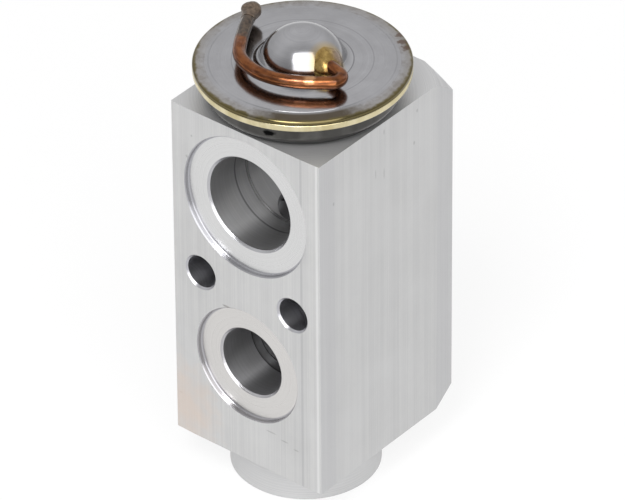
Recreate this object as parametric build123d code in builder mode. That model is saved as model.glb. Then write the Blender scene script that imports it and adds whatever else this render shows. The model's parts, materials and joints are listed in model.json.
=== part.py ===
from build123d import *
import os
from math import asin, cos, pi, radians, sin, sqrt, tan

os.makedirs("parts", exist_ok=True)

# A block-type thermostatic expansion valve. Millimetres, +Z up along the valve axis, with the
# origin on that axis at the bottom face of the spigot. The front, with two ports, looks along -Y.

# Block
block_width = 36.0
front_reach = 17.5  # valve axis to the front face
rear_reach = 23.0  # valve axis to the rear face
block_height = 76.0
spigot_radius = 14.8
spigot_height = 8.9
turned_radius = 25.5  # where the turned cone meets each end face of the block
turned_depth = 6.0
relief_width = 4.6  # strip beside each front corner that falls back a little
relief_drop = 0.15
corner_radius = 0.2
spigot_chamfer = 0.3

# Ports, from the face inwards
suction_height = 59.3  # above the underside of the block
suction_recess_radius = 14.8
suction_bore_radius = 9.8
suction_bore_depth = 12.0
suction_passage_radius = 9.5
liquid_height = 22.5
liquid_recess_radius = 12.3
liquid_bore_radius = 7.2
liquid_bore_depth = 10.0
liquid_passage_radius = 5.0
liquid_passage_reach = 4.5  # how far the passage runs past the valve axis
inlet_height = 12.6
inlet_recess_radius = 11.0
inlet_bore_radius = 6.4
inlet_bore_depth = 12.0
inlet_passage_radius = 3.2
inlet_passage_drop = 2.0  # passage axis below the inlet port's axis
recess_depth = 1.15
recess_edge = 0.2
mouth_chamfer = 0.4

# Mounting holes
bolt_spacing = 22.6
bolt_height = 39.3
bolt_hole_radius = 3.4
bolt_chamfer = 0.4

# Clearances
running_gap = 0.05  # radial, between a moving piece and its bore
seal_gap = 0.03
contact_gap = 0.02  # between faces that bear on each other across a joint
overcut = 1.0

# Adjusting plug and spring chamber
plug_bottom = 1.2
plug_thread_radius = 7.5
plug_thread_length = 3.2
plug_land_radius = 6.5
plug_height = 8.8
plug_boss_radius = 3.4
plug_boss_height = 1.5
plug_groove_width = 1.8
plug_groove_radius = 4.9
plug_groove_from_top = 1.0
socket_flats = 6.0
socket_depth = 4.5
thread_pitch = 1.0
adjuster_turns = 1.0  # either way from the set position

# Seat, ball and carrier
seat_ring_radius = 5.0
seat_ring_height = 3.0
seat_land = 0.2  # wall left between the seat ring and the liquid passage
orifice_radius = 2.3
seat_cone_depth = 1.3
gallery_radius = 4.0
ball_radius = 3.5
carrier_radius = 4.4
carrier_flange_radius = 5.6
carrier_flange_height = 1.5
carrier_rim_drop = 1.2  # rim of the cup below the middle of the ball
carrier_floor = 0.6
carrier_boss_radius = 2.9
carrier_boss_height = 1.6
spring_wire_radius = 0.65
spring_mean_radius = 4.4
spring_pitch = 2.1
clip_sheet = 0.3
clip_height = 1.6
clip_leaf_sweep = 75.0
clip_leaves = 3

# Rod, pin and seal
valve_stroke = 0.8
pin_radius = 1.2
pin_socket_depth = 3.0
rod_radius = 2.8
rod_guide_length = 5.6
rod_foot_spare = 0.4  # left under the rod when the valve is fully open
seal_pocket_radius = 5.0
seal_pocket_depth = 4.3  # below the lowest line of the suction passage
backup_height = 0.8
retainer_height = 1.0
retainer_teeth = 6
end_chamfer = 0.3

# Power head
neck_radius = 10.0
neck_inner_radius = 6.9
neck_length = 5.0
neck_bore_spare = 0.5
neck_passage_radius = 6.5
head_seal_radius = 11.7
head_seal_depth = 1.5
rim_radius = 20.85
case_foot_inset = 3.85  # insets are measured from the rim towards the axis
case_waist_inset = 1.85
case_land_inset = 3.25
case_cavity_inset = 4.45
case_flare_height = 2.1
case_height = 6.65
case_rim_height = 1.6
case_floor_height = 2.7
diaphragm_sheet = 0.15
diaphragm_inset = 0.45
ripple_gap = 0.6  # from the edge of the thrust pad to the first ripple
ripple_width = 2.0
ripple_count = 2
ripple_rise = 0.2
cover_sheet = 0.8
cover_rim_round = 0.3
step_inset = 3.15
step_rise = 0.25
band_rise = 0.05
disc_rise = 1.1  # from the step up to the foot of the dome
dome_radius = 7.4
dome_centre_height = 7.28  # above the top of the block
dome_fillet = 3.8  # where the dome flares out into the cone
pad_inset = 8.85
pad_thickness = 1.6
pad_hub_radius = 6.4
pad_hub_length = 4.8
pad_socket_depth = 4.0

# Charging tube, seen from above, as corners about the valve axis
tube_radius = 1.3
tube_bore_radius = 0.6
tube_height = 10.55  # above the top of the block
tube_points = [
    (5.0, -0.9),
    (12.25, -3.0),
    (12.7, -5.4),
    (7.9, -9.2),
    (2.7, -11.8),
    (-2.5, -11.9),
    (-7.2, -10.1),
    (-10.0, -6.4),
    (-13.0, -1.1),
    (-15.4, 3.55),
]
tube_bend_radius = 1.9
tube_tight_bends = 2  # the turn beside the dome
tube_bend_share = 0.48
tip_radius = 1.95
tip_length = 5.2
tip_neck_radius = 1.45
braze_radius = 3.6
braze_reach = 5.0
braze_back = 1.6
braze_neck_radius = 1.5
braze_hollow = 0.5

# Sizes that follow from those above
half_width = block_width / 2
block_bottom = spigot_height
block_top = block_bottom + block_height
suction_axis = block_bottom + suction_height
liquid_axis = block_bottom + liquid_height
inlet_axis = block_bottom + inlet_height
bolt_axis = block_bottom + bolt_height

adjuster_travel = thread_pitch * adjuster_turns
chamber_radius = plug_land_radius + running_gap
thread_bore_radius = plug_thread_radius + running_gap
thread_bore_top = plug_bottom + plug_thread_length + adjuster_travel + running_gap
plug_top = plug_bottom + plug_height
groove_top = plug_top - plug_groove_from_top
groove_middle = groove_top - plug_groove_width / 2

seat_ring_top = liquid_axis - liquid_passage_radius - seat_land
seat_ring_bottom = seat_ring_top - seat_ring_height
seat_edge = seat_ring_bottom + seat_cone_depth
contact_radius = ball_radius * cos(radians(45))
ball_height = seat_edge - (contact_radius - orifice_radius) - contact_radius - contact_gap * 2
carrier_rim = ball_height - carrier_rim_drop
carrier_underside = ball_height - ball_radius - carrier_floor - carrier_flange_height / 2
flange_top = carrier_underside + carrier_flange_height

suction_floor = suction_axis - suction_passage_radius
pocket_floor = suction_floor - seal_pocket_depth
guide_floor = pocket_floor - rod_guide_length
rod_foot = guide_floor + valve_stroke + rod_foot_spare
pin_top = rod_foot + pin_socket_depth - contact_gap
seal_section = (seal_pocket_radius - rod_radius) / 2 - seal_gap
backup_bottom = pocket_floor + 2 * seal_section + 2 * seal_gap
retainer_bottom = backup_bottom + backup_height

case_foot_radius = rim_radius - case_foot_inset
case_waist_radius = rim_radius - case_waist_inset
case_land_radius = rim_radius - case_land_inset
case_cavity_radius = rim_radius - case_cavity_inset
diaphragm_radius = rim_radius - diaphragm_inset
step_radius = rim_radius - step_inset
pad_radius = rim_radius - pad_inset
ripple_start = pad_radius + ripple_gap
neck_bottom = block_top - neck_length
neck_bore_floor = neck_bottom - neck_bore_spare
case_top = block_top + case_height
case_rim_bottom = case_top - case_rim_height
case_floor = block_top + case_floor_height
cover_bottom = case_top + diaphragm_sheet
cover_top = cover_bottom + cover_sheet
step_top = cover_top + band_rise + step_rise
dome_centre = block_top + dome_centre_height
dome_foot = step_top + disc_rise
pad_top = case_top - contact_gap
pad_underside = pad_top - pad_thickness
hub_bottom = pad_underside - pad_hub_length
socket_top = hub_bottom + pad_socket_depth
rod_top = socket_top - contact_gap

tube_axis = block_top + tube_height

# Valve block: an extruded bar, turned at both ends, with its ports, holes and stepped axial bore
port_cuts = (
    (-front_reach, 1, suction_axis, suction_recess_radius, suction_bore_radius, suction_bore_depth),
    (-front_reach, 1, liquid_axis, liquid_recess_radius, liquid_bore_radius, liquid_bore_depth),
    (rear_reach, -1, suction_axis, suction_recess_radius, suction_bore_radius, suction_bore_depth),
    (rear_reach, -1, inlet_axis, inlet_recess_radius, inlet_bore_radius, inlet_bore_depth),
)
passage_cuts = (
    (suction_axis, suction_passage_radius, -front_reach + recess_depth, rear_reach - recess_depth),
    (liquid_axis, liquid_passage_radius, -front_reach + recess_depth, liquid_passage_reach),
    (inlet_axis - inlet_passage_drop, inlet_passage_radius, 0, rear_reach - inlet_bore_depth + overcut),
)
turned_outline = (
    (0, 0),
    (spigot_radius - spigot_chamfer, 0),
    (spigot_radius, spigot_chamfer),
    (spigot_radius, block_bottom),
    (turned_radius, block_bottom),
    (turned_radius + turned_depth, block_bottom + turned_depth),
    (turned_radius + turned_depth, block_top - turned_depth),
    (turned_radius, block_top),
    (0, block_top),
)
axial_bore = (
    (0, -overcut),
    (thread_bore_radius + mouth_chamfer, -overcut),
    (thread_bore_radius + mouth_chamfer, 0),
    (thread_bore_radius, mouth_chamfer),
    (thread_bore_radius, thread_bore_top),
    (chamber_radius, thread_bore_top),
    (chamber_radius, seat_ring_bottom),
    (seat_ring_radius, seat_ring_bottom),
    (seat_ring_radius, seat_ring_top),
    (gallery_radius, seat_ring_top),
    (gallery_radius, liquid_axis),
    (pin_radius + running_gap, liquid_axis),
    (pin_radius + running_gap, guide_floor),
    (rod_radius + running_gap, guide_floor),
    (rod_radius + running_gap, pocket_floor),
    (seal_pocket_radius, pocket_floor),
    (seal_pocket_radius, suction_axis),
    (neck_passage_radius, suction_axis),
    (neck_passage_radius, neck_bore_floor),
    (neck_radius + running_gap, neck_bore_floor),
    (neck_radius + running_gap, block_top - head_seal_depth),
    (head_seal_radius, block_top - head_seal_depth),
    (head_seal_radius, block_top + overcut),
    (0, block_top + overcut),
)

with BuildPart() as valve_block:
    with BuildSketch():
        with BuildLine():
            Polyline(
                (half_width, rear_reach),
                (-half_width, rear_reach),
                (-half_width, relief_drop - front_reach),
                (relief_width - half_width, -front_reach),
                (half_width - relief_width, -front_reach),
                (half_width, relief_drop - front_reach),
                close=True,
            )
        make_face()
    extrude(amount=block_top)
    upright_edges = valve_block.edges().filter_by(Axis.Z)
    corner_edges = upright_edges.filter_by(lambda edge: abs(edge.center().X) > half_width - relief_width)
    fillet(corner_edges, corner_radius)
    with BuildSketch(Plane.XZ):
        with BuildLine():
            Polyline(*turned_outline, close=True)
        make_face()
    revolve(axis=Axis.Z, mode=Mode.INTERSECT)
    for face, inward, height, recess_radius, bore_radius, bore_depth in port_cuts:
        port_steps = (
            (-overcut, 0),
            (-overcut, recess_radius + recess_edge),
            (0, recess_radius + recess_edge),
            (recess_edge, recess_radius),
            (recess_depth, recess_radius),
            (recess_depth, bore_radius + mouth_chamfer),
            (recess_depth + mouth_chamfer, bore_radius),
            (bore_depth, bore_radius),
            (bore_depth, 0),
        )
        port_outline = [(face + inward * depth, height + radius) for depth, radius in port_steps]
        with BuildSketch(Plane.YZ):
            with BuildLine():
                Polyline(*port_outline, close=True)
            make_face()
        revolve(axis=Axis((0, 0, height), (0, 1, 0)), mode=Mode.SUBTRACT)
    for height, radius, start, end in passage_cuts:
        with BuildSketch(Plane.XZ.offset(-start)):
            with Locations((0, height)):
                Circle(radius)
        extrude(amount=start - end, mode=Mode.SUBTRACT)
    for side in (-1, 1):
        hole_x = side * bolt_spacing / 2
        hole_steps = (
            (-front_reach - overcut, 0),
            (-front_reach - overcut, bolt_hole_radius + bolt_chamfer),
            (-front_reach, bolt_hole_radius + bolt_chamfer),
            (-front_reach + bolt_chamfer, bolt_hole_radius),
            (rear_reach - bolt_chamfer, bolt_hole_radius),
            (rear_reach, bolt_hole_radius + bolt_chamfer),
            (rear_reach + overcut, bolt_hole_radius + bolt_chamfer),
            (rear_reach + overcut, 0),
        )
        with BuildSketch(Plane.YZ.offset(hole_x)):
            with BuildLine():
                Polyline(*[(depth, bolt_axis + radius) for depth, radius in hole_steps], close=True)
            make_face()
        revolve(axis=Axis((hole_x, 0, bolt_axis), (0, 1, 0)), mode=Mode.SUBTRACT)
    with BuildSketch(Plane.XZ):
        with BuildLine():
            Polyline(*axial_bore, close=True)
        make_face()
    revolve(axis=Axis.Z, mode=Mode.SUBTRACT)
valve_block.part.label = "valve_block"
export_step(valve_block.part, "parts/valve_block.step")

# Lower case of the power head, turned with its threaded neck
with BuildPart() as head_case:
    with BuildSketch(Plane.XZ) as case_section:
        with BuildLine():
            Polyline(
                (neck_inner_radius, neck_bottom),
                (neck_radius - end_chamfer, neck_bottom),
                (neck_radius, neck_bottom + end_chamfer),
                (neck_radius, block_top),
                (case_foot_radius, block_top),
                (case_waist_radius, block_top + case_flare_height),
                (case_waist_radius, case_rim_bottom),
                (rim_radius, case_rim_bottom),
                (rim_radius, case_top),
                (case_land_radius, case_top),
                (case_cavity_radius, case_top - (case_land_radius - case_cavity_radius)),
                (case_cavity_radius, case_floor),
                (neck_inner_radius, case_floor),
                close=True,
            )
        make_face()
        waist_corner = case_section.vertices().sort_by_distance((case_waist_radius, case_rim_bottom))[0]
        fillet(waist_corner, case_flare_height / 2)
        rim_corner = case_section.vertices().sort_by_distance((rim_radius, case_rim_bottom))[0]
        fillet(rim_corner, case_rim_height / 2)
    revolve(axis=Axis.Z)
head_case.part.label = "head_case"
export_step(head_case.part, "parts/head_case.step")

# O-ring between the power head and the block, squeezed in its pocket
with BuildPart() as head_seal:
    with BuildSketch(Plane.XZ):
        with Locations(((neck_radius + head_seal_radius) / 2, block_top - head_seal_depth / 2)):
            RectangleRounded(
                head_seal_radius - neck_radius - 2 * seal_gap,
                head_seal_depth - 2 * seal_gap,
                head_seal_depth / 3,
            )
    revolve(axis=Axis.Z)
head_seal.part.label = "head_seal"
export_step(head_seal.part, "parts/head_seal.step")

# Diaphragm: a thin disc with round ripples, held at its edge between case and cover
with BuildPart() as diaphragm:
    with BuildSketch(Plane.XZ):
        with BuildLine():
            ripple_end = ripple_start + ripple_count * ripple_width
            for level in (case_top, cover_bottom):
                Line((0, level), (ripple_start, level))
                for ripple in range(ripple_count):
                    ripple_inner = ripple_start + ripple * ripple_width
                    rise = ripple_rise if ripple % 2 == 0 else -ripple_rise
                    SagittaArc((ripple_inner, level), (ripple_inner + ripple_width, level), rise)
                Line((ripple_end, level), (diaphragm_radius, level))
            Line((0, case_top), (0, cover_bottom))
            Line((diaphragm_radius, case_top), (diaphragm_radius, cover_bottom))
        make_face()
    revolve(axis=Axis.Z)
diaphragm.part.label = "diaphragm"
export_step(diaphragm.part, "parts/diaphragm.step")

# Path of the charging tube, which gives the cover's hole and the braze their places
tube_radii = []
for before, corner, after in zip(tube_points, tube_points[1:], tube_points[2:]):
    run_in = Vector(*corner) - Vector(*before)
    run_out = Vector(*after) - Vector(*corner)
    half_turn = radians(run_in.get_angle(run_out)) / 2
    largest = tube_bend_share * min(run_in.length, run_out.length) / tan(half_turn)
    tight = len(tube_radii) < tube_tight_bends
    tube_radii.append(min(largest, tube_bend_radius) if tight else largest)
print("charging tube bend radii", [round(radius, 2) for radius in tube_radii])
with BuildLine(Plane.XY.offset(tube_axis)) as tube_path:
    FilletPolyline(*tube_points, radius=tube_radii)
tube_wire = tube_path.wire()
tube_entry = Plane(origin=tube_wire @ 0, z_dir=tube_wire % 0)
tube_exit = Plane(origin=tube_wire @ 1, z_dir=tube_wire % 1)
upwards = Vector(0, 0, 1)
entry_section = Plane(origin=tube_entry.origin, x_dir=upwards, z_dir=upwards.cross(tube_entry.z_dir))
exit_section = Plane(origin=tube_exit.origin, x_dir=upwards, z_dir=upwards.cross(tube_exit.z_dir))

# Upper cover of the power head, pressed from sheet, with a step, a shallow cone and the dome
with BuildPart() as head_cover:
    with BuildSketch(Plane.XZ) as cover_section:
        with BuildLine():
            for lift in (0, -cover_sheet):
                sphere_radius = dome_radius + lift
                foot_z = dome_foot + lift
                foot_radius = sqrt(sphere_radius**2 - (foot_z - dome_centre) ** 2)
                middle = (asin((foot_z - dome_centre) / sphere_radius) + pi / 2) / 2
                ThreePointArc(
                    (foot_radius, foot_z),
                    (sphere_radius * cos(middle), dome_centre + sphere_radius * sin(middle)),
                    (0, dome_centre + sphere_radius),
                )
                Line((foot_radius, foot_z), (step_radius, step_top + lift))
            Line((0, dome_centre + dome_radius), (0, dome_centre + dome_radius - cover_sheet))
            Polyline(
                (step_radius, step_top),
                (step_radius + step_rise, step_top - step_rise),
                (rim_radius - cover_rim_round, cover_top),
                (rim_radius, cover_top - cover_rim_round),
                (rim_radius, cover_bottom),
                (step_radius, cover_bottom),
                (step_radius, step_top - cover_sheet),
            )
        make_face()
        foot_corners = cover_section.vertices().filter_by(
            lambda corner: max(abs(corner.X - dome_radius), abs(corner.Y - dome_foot)) < dome_fillet
        )
        fillet(foot_corners, dome_fillet)
    revolve(axis=Axis.Z)
    with BuildSketch(tube_entry):
        Circle(tube_radius + seal_gap)
    extrude(amount=braze_reach, mode=Mode.SUBTRACT)
head_cover.part.label = "head_cover"
export_step(head_cover.part, "parts/head_cover.step")

# Charging tube, bent round beside the dome and pinched at its end
with BuildPart() as charging_tube:
    with BuildSketch(tube_entry):
        Circle(tube_radius)
        Circle(tube_bore_radius, mode=Mode.SUBTRACT)
    sweep(path=tube_wire)
charging_tube.part.label = "charging_tube"
export_step(charging_tube.part, "parts/charging_tube.step")
tube_section = pi * (tube_radius**2 - tube_bore_radius**2)
swept_share = charging_tube.part.volume / (tube_section * tube_wire.length)
print("charging tube volume over section times length", swept_share)

# Braze where the tube enters the dome
with BuildPart() as tube_braze:
    with BuildSketch(entry_section):
        with BuildLine():
            braze_edge = (braze_radius, -braze_back)
            braze_neck = (braze_neck_radius, braze_reach)
            Polyline(braze_neck, (0, braze_reach), (0, -braze_back), braze_edge)
            SagittaArc(braze_edge, braze_neck, braze_hollow)
        make_face()
    revolve(axis=Axis(tube_entry.origin, tube_entry.z_dir))
    with Locations((0, 0, dome_centre)):
        Sphere(dome_radius, mode=Mode.SUBTRACT)
    add(head_cover.part, mode=Mode.SUBTRACT)
    with BuildSketch(tube_entry):
        Circle(tube_radius)
    extrude(amount=braze_reach, mode=Mode.SUBTRACT)
tube_braze.part.label = "tube_braze"
export_step(tube_braze.part, "parts/tube_braze.step")

# Soldered tip over the pinched end of the tube
with BuildPart() as tube_tip:
    with BuildSketch(exit_section):
        with BuildLine():
            tip_start = tip_radius - tip_length
            Line((0, tip_start), (tip_neck_radius, tip_start))
            Spline(
                (tip_neck_radius, tip_start),
                (tip_neck_radius * 1.1, tip_start / 2),
                (tip_radius, 0),
                (tip_radius * cos(pi / 4), tip_radius * sin(pi / 4)),
                (0, tip_radius),
                tangents=((0, 1), (-1, 0)),
            )
            Line((0, tip_radius), (0, tip_start))
        make_face()
    revolve(axis=Axis(tube_exit.origin, tube_exit.z_dir))
    add(charging_tube.part, mode=Mode.SUBTRACT)
tube_tip.part.label = "tube_tip"
export_step(tube_tip.part, "parts/tube_tip.step")

# Thrust pad under the diaphragm, with a hub that takes the sensing rod
with BuildPart() as thrust_pad:
    with BuildSketch(Plane.XZ):
        with BuildLine():
            Polyline(
                (0, pad_top),
                (pad_radius - end_chamfer, pad_top),
                (pad_radius, pad_top - end_chamfer),
                (pad_radius, pad_underside),
                (pad_hub_radius, pad_underside),
                (pad_hub_radius, hub_bottom + end_chamfer),
                (pad_hub_radius - end_chamfer, hub_bottom),
                (rod_radius + contact_gap, hub_bottom),
                (rod_radius + contact_gap, socket_top),
                (0, socket_top),
                close=True,
            )
        make_face()
    revolve(axis=Axis.Z)
thrust_pad.part.label = "thrust_pad"
export_step(thrust_pad.part, "parts/thrust_pad.step")

# Sensing rod, through the suction passage
with BuildPart() as sensing_rod:
    with BuildSketch(Plane.XY.offset(rod_foot)):
        Circle(rod_radius)
    extrude(amount=rod_top - rod_foot)
    chamfer(sensing_rod.edges().filter_by(GeomType.CIRCLE), end_chamfer)
    with BuildSketch(Plane.XY.offset(rod_foot)):
        Circle(pin_radius + contact_gap)
    extrude(amount=pin_socket_depth, mode=Mode.SUBTRACT)
sensing_rod.part.label = "sensing_rod"
export_step(sensing_rod.part, "parts/sensing_rod.step")

# O-ring round the sensing rod
with BuildPart() as rod_seal:
    with BuildSketch(Plane.XZ):
        with Locations(((rod_radius + seal_pocket_radius) / 2, pocket_floor + seal_gap + seal_section)):
            Circle(seal_section)
    revolve(axis=Axis.Z)
rod_seal.part.label = "rod_seal"
export_step(rod_seal.part, "parts/rod_seal.step")

# Plain ring over the O-ring
with BuildPart() as seal_backup:
    with BuildSketch(Plane.XY.offset(backup_bottom)):
        Circle(seal_pocket_radius - seal_gap)
        Circle(rod_radius + running_gap, mode=Mode.SUBTRACT)
    extrude(amount=backup_height)
seal_backup.part.label = "seal_backup"
export_step(seal_backup.part, "parts/seal_backup.step")

# Push-in ring with sprung teeth that bite into the pocket
with BuildPart() as seal_retainer:
    with BuildSketch(Plane.XY.offset(retainer_bottom)):
        Circle(seal_pocket_radius)
        Circle(rod_radius + 4 * running_gap, mode=Mode.SUBTRACT)
        with PolarLocations(seal_pocket_radius, retainer_teeth):
            Circle(retainer_height / 2, mode=Mode.SUBTRACT)
    extrude(amount=retainer_height)
seal_retainer.part.label = "seal_retainer"
export_step(seal_retainer.part, "parts/seal_retainer.step")

# Push pin from the sensing rod to the ball
with BuildPart() as push_pin:
    with BuildSketch(Plane.XY.offset(ball_height + ball_radius + contact_gap)):
        Circle(pin_radius)
    extrude(amount=pin_top - ball_height - ball_radius - contact_gap)
    chamfer(push_pin.edges().filter_by(GeomType.CIRCLE), end_chamfer / 2)
push_pin.part.label = "push_pin"
export_step(push_pin.part, "parts/push_pin.step")

# Seat ring, pressed into the block from below
with BuildPart() as seat_ring:
    with BuildSketch(Plane.XZ):
        with BuildLine():
            Polyline(
                (orifice_radius + seat_cone_depth, seat_ring_bottom),
                (seat_ring_radius, seat_ring_bottom),
                (seat_ring_radius, seat_ring_top),
                (orifice_radius, seat_ring_top),
                (orifice_radius, seat_edge),
                close=True,
            )
        make_face()
    revolve(axis=Axis.Z)
seat_ring.part.label = "seat_ring"
export_step(seat_ring.part, "parts/seat_ring.step")

# Ball
with BuildPart() as valve_ball:
    with Locations((0, 0, ball_height)):
        Sphere(ball_radius)
valve_ball.part.label = "valve_ball"
export_step(valve_ball.part, "parts/valve_ball.step")

# Ball carrier: a cup on a flange that takes the spring
with BuildPart() as ball_carrier:
    with BuildSketch(Plane.XZ):
        with BuildLine():
            Polyline(
                (0, carrier_underside - carrier_boss_height),
                (carrier_boss_radius - end_chamfer, carrier_underside - carrier_boss_height),
                (carrier_boss_radius, carrier_underside - carrier_boss_height + end_chamfer),
                (carrier_boss_radius, carrier_underside),
                (carrier_flange_radius, carrier_underside),
                (carrier_flange_radius, flange_top),
                (carrier_radius, flange_top),
                (carrier_radius, carrier_rim),
                (0, carrier_rim),
                close=True,
            )
        make_face()
    revolve(axis=Axis.Z)
    with Locations((0, 0, ball_height)):
        Sphere(ball_radius + contact_gap, mode=Mode.SUBTRACT)
ball_carrier.part.label = "ball_carrier"
export_step(ball_carrier.part, "parts/ball_carrier.step")

# Damping clip round the cup, whose bowed leaves rub on the chamber wall
clip_bottom = flange_top + contact_gap
clip_inner = carrier_radius + contact_gap
leaf_root = clip_inner + clip_sheet / 2
leaf_crown = chamber_radius - running_gap - clip_sheet / 2
with BuildPart() as damping_spring:
    with BuildSketch(Plane.XY.offset(clip_bottom)):
        Circle(clip_inner + clip_sheet)
        Circle(clip_inner, mode=Mode.SUBTRACT)
        for leaf in range(clip_leaves):
            root_angle = 360 / clip_leaves * leaf
            crown_angle = root_angle + clip_leaf_sweep / 2
            tail_angle = root_angle + clip_leaf_sweep
            with BuildLine():
                ThreePointArc(
                    Vector(leaf_root, 0).rotate(Axis.Z, root_angle),
                    Vector(leaf_crown, 0).rotate(Axis.Z, crown_angle),
                    Vector(leaf_root + clip_sheet * 2, 0).rotate(Axis.Z, tail_angle),
                )
            trace(line_width=clip_sheet)
    extrude(amount=clip_height)
damping_spring.part.label = "damping_spring"
export_step(damping_spring.part, "parts/damping_spring.step")

# Main spring between the plug and the carrier, with ground ends
spring_height = carrier_underside - plug_top
with BuildPart() as main_spring:
    with BuildLine():
        spring_line = Helix(
            pitch=spring_pitch,
            height=spring_height,
            radius=spring_mean_radius,
            center=(0, 0, plug_top),
        )
    with BuildSketch(Plane(origin=spring_line @ 0, z_dir=spring_line % 0)):
        Circle(spring_wire_radius)
    sweep(path=spring_line, is_frenet=True)
    with BuildSketch(Plane.XY.offset(plug_top + contact_gap)):
        Circle(spring_mean_radius + 2 * spring_wire_radius)
    extrude(amount=spring_height - 2 * contact_gap, mode=Mode.INTERSECT)
main_spring.part.label = "main_spring"
export_step(main_spring.part, "parts/main_spring.step")

# Adjusting plug, threaded in the spigot and turned by a hexagon key from below
with BuildPart() as adjusting_plug:
    with BuildSketch(Plane.XZ):
        with BuildLine():
            Polyline(
                (0, plug_bottom),
                (plug_thread_radius - end_chamfer, plug_bottom),
                (plug_thread_radius, plug_bottom + end_chamfer),
                (plug_thread_radius, plug_bottom + plug_thread_length),
                (plug_land_radius, plug_bottom + plug_thread_length),
                (plug_land_radius, groove_top - plug_groove_width),
                (plug_groove_radius, groove_top - plug_groove_width),
                (plug_groove_radius, groove_top),
                (plug_land_radius, groove_top),
                (plug_land_radius, plug_top),
                (plug_boss_radius, plug_top),
                (plug_boss_radius, plug_top + plug_boss_height - end_chamfer),
                (plug_boss_radius - end_chamfer, plug_top + plug_boss_height),
                (0, plug_top + plug_boss_height),
                close=True,
            )
        make_face()
    revolve(axis=Axis.Z)
    with BuildSketch(Plane.XY.offset(plug_bottom)):
        RegularPolygon(socket_flats / 2, 6, major_radius=False)
    extrude(amount=socket_depth, mode=Mode.SUBTRACT)
adjusting_plug.part.label = "adjusting_plug"
export_step(adjusting_plug.part, "parts/adjusting_plug.step")

# O-ring in the plug's groove
plug_seal_section = (chamber_radius - plug_groove_radius) / 2 - seal_gap
with BuildPart() as plug_seal:
    with BuildSketch(Plane.XZ):
        with Locations(((plug_groove_radius + chamber_radius) / 2, groove_middle)):
            Circle(plug_seal_section)
    revolve(axis=Axis.Z)
plug_seal.part.label = "plug_seal"
export_step(plug_seal.part, "parts/plug_seal.step")
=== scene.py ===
# %% [markdown]
# # Block-type expansion valve
# A lesson in cells. The valve is an extruded aluminium block that was turned at both ends, bored from
# two sides and closed on top with a welded steel power head. A thin copper tube leaves the head's dome.
# The exact solids come from the CAD model. Here they get their finishes, and the pieces whose curves and
# edges show most are modelled again with finer surfaces in the same places.

import json
from math import cos, degrees, pi, radians, sin, sqrt

import bmesh
import bpy
from mathutils import Matrix, Vector, noise


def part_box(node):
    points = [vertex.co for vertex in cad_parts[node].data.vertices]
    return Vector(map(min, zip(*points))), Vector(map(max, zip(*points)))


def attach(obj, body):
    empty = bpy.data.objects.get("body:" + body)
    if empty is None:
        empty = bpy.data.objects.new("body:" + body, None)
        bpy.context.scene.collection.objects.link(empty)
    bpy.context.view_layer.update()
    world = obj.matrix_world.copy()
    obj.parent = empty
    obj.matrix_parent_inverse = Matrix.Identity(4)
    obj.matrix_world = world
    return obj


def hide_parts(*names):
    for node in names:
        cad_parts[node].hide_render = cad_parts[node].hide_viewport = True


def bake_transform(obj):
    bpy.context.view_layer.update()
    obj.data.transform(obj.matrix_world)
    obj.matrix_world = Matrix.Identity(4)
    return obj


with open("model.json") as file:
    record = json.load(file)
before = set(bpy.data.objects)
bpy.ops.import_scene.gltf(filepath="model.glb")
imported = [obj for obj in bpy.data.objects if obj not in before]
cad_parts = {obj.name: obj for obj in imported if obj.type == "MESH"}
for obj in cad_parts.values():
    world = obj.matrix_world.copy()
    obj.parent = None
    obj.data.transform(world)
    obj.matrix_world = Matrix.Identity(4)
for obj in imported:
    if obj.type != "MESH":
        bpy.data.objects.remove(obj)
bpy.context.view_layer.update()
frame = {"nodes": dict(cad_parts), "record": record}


# %% [markdown]
# ## Driving dimensions
# The record states where the ports, holes and spigot are, and the boxes of the solids give the faces of
# the block and the head. Taken from there, the dressed pieces stay in step with the CAD model. Only the
# sizes that neither of them holds, such as the radius of a recess, are written here, in millimetres.

# %% Driving dimensions
MM = 0.001
mounts = {mount["name"]: mount for mount in frame["record"]["mounts"]}


def axis_height(name):
    return mounts[name]["pos_m"][2] / MM


def stated(name, size):
    return mounts[name]["dims"][size]


block_low, block_high = [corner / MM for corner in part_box("valve_block")]
cover_low, cover_high = [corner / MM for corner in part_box("head_cover")]
half_width, front, rear, block_top = block_high.x, block_low.y, block_high.y, block_high.z
spigot_radius, spigot_height = stated("spigot", "r_mm"), stated("spigot", "length_mm")
suction_axis, suction_bore = axis_height("suction_port_front"), stated("suction_port_front", "r_mm")
liquid_axis, liquid_bore = axis_height("liquid_port_front"), stated("liquid_port_front", "r_mm")
inlet_axis, inlet_bore = axis_height("inlet_port_rear"), stated("inlet_port_rear", "r_mm")
hole_axis, hole_radius = axis_height("mounting_holes"), stated("mounting_holes", "hole_r_mm")
hole_side = stated("mounting_holes", "spacing_x_mm") / 2
suction_recess, liquid_recess, inlet_recess = 14.8, 12.3, 11.0
recess_depth, recess_edge, recess_corner, mouth_chamfer = 1.15, 0.2, 0.45, 0.4
relief_width, relief_drop = 4.6, 0.15
flat_side = half_width - relief_width
rim_radius = cover_high.x
cover_bottom, dome_top = cover_low.z, cover_high.z
print("block", round(half_width * 2, 2), "mm wide, ports at", suction_axis, "and", liquid_axis, "mm")

# %% [markdown]
# ## Camera
# The photograph looks down on the front right corner of the block from more than a metre away, through a
# long lens. A camera matched by hand never fits well, so these values come from lining up the block's
# edges and the round rims. The turn about the vertical comes first, then the tilt, then a small roll.

# %% Camera
photo_width = 625
focal_pixels = 7426.5
sensor_width = 36.0
camera_turn = radians(39.447)
camera_tilt = radians(90 - 35.136)
camera_roll = radians(-0.464)
camera_place = Vector((739.9, -896.8, 867.0)) * MM

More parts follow.
